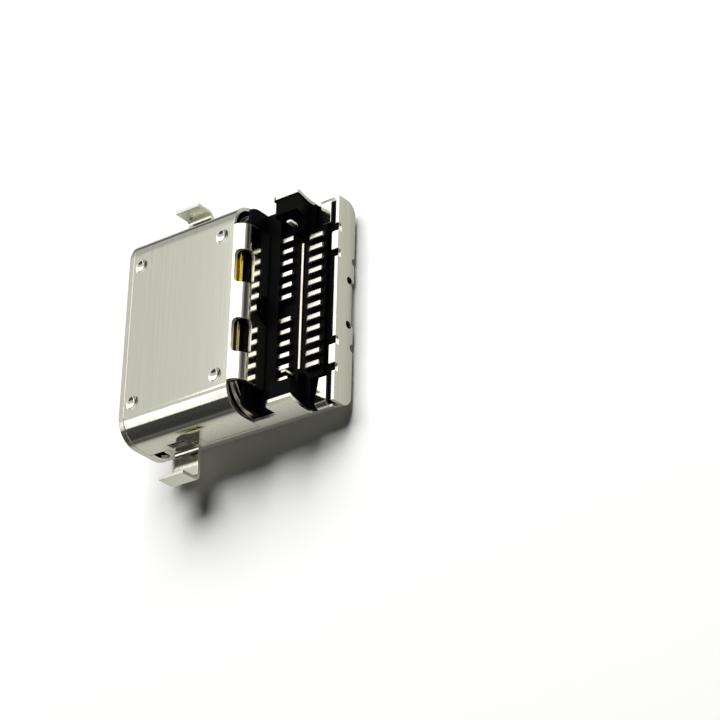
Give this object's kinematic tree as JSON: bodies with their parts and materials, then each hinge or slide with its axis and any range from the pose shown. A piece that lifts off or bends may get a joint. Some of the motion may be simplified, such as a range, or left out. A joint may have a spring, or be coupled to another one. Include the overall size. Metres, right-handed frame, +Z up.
{
  "type": "charging port",
  "caption": "Board-mounted charging port with an oval plug mouth, a folded sheet-metal shell, a contact tongue inside and rows of solder tails on a rear deck.",
  "frame": {"origin": "on the plain cover face, at the middle of the part's length and width", "axes": "+X across the port, -Y out of the plug mouth and +Y to the rear wall, +Z up through the dimpled face"},
  "size_m": [0.0118, 0.009, 0.0032],
  "materials": {
    "shell_nickel": "nickel-plated stainless sheet, satin with a fine rolling grain",
    "tube_steel": "nickel-plated stainless, smooth drawn",
    "inner_steel": "bright stamped stainless",
    "contact_plating": "copper alloy, bright tin on the tails",
    "black_plastic": "moulded black liquid crystal polymer"
  },
  "bodies": {
    "root": {"inner_shell": "tube_steel", "upper_shell": "shell_nickel", "lower_cover": "shell_nickel", "housing": "black_plastic", "tongue": "black_plastic", "mid_plate": "inner_steel", "upper_ground_pad": "inner_steel", "lower_ground_pad": "inner_steel", "contact_a01": "contact_plating", "contact_a02": "contact_plating", "contact_a03": "contact_plating", "contact_a04": "contact_plating", "contact_a05": "contact_plating", "contact_a06": "contact_plating", "contact_a07": "contact_plating", "contact_a08": "contact_plating", "contact_a09": "contact_plating", "contact_a10": "contact_plating", "contact_a11": "contact_plating", "contact_a12": "contact_plating", "contact_b01": "contact_plating", "contact_b02": "contact_plating", "contact_b03": "contact_plating", "contact_b04": "contact_plating", "contact_b05": "contact_plating", "contact_b06": "contact_plating", "contact_b07": "contact_plating", "contact_b08": "contact_plating", "contact_b09": "contact_plating", "contact_b10": "contact_plating", "contact_b11": "contact_plating", "contact_b12": "contact_plating"}
  },
  "joints": []
}
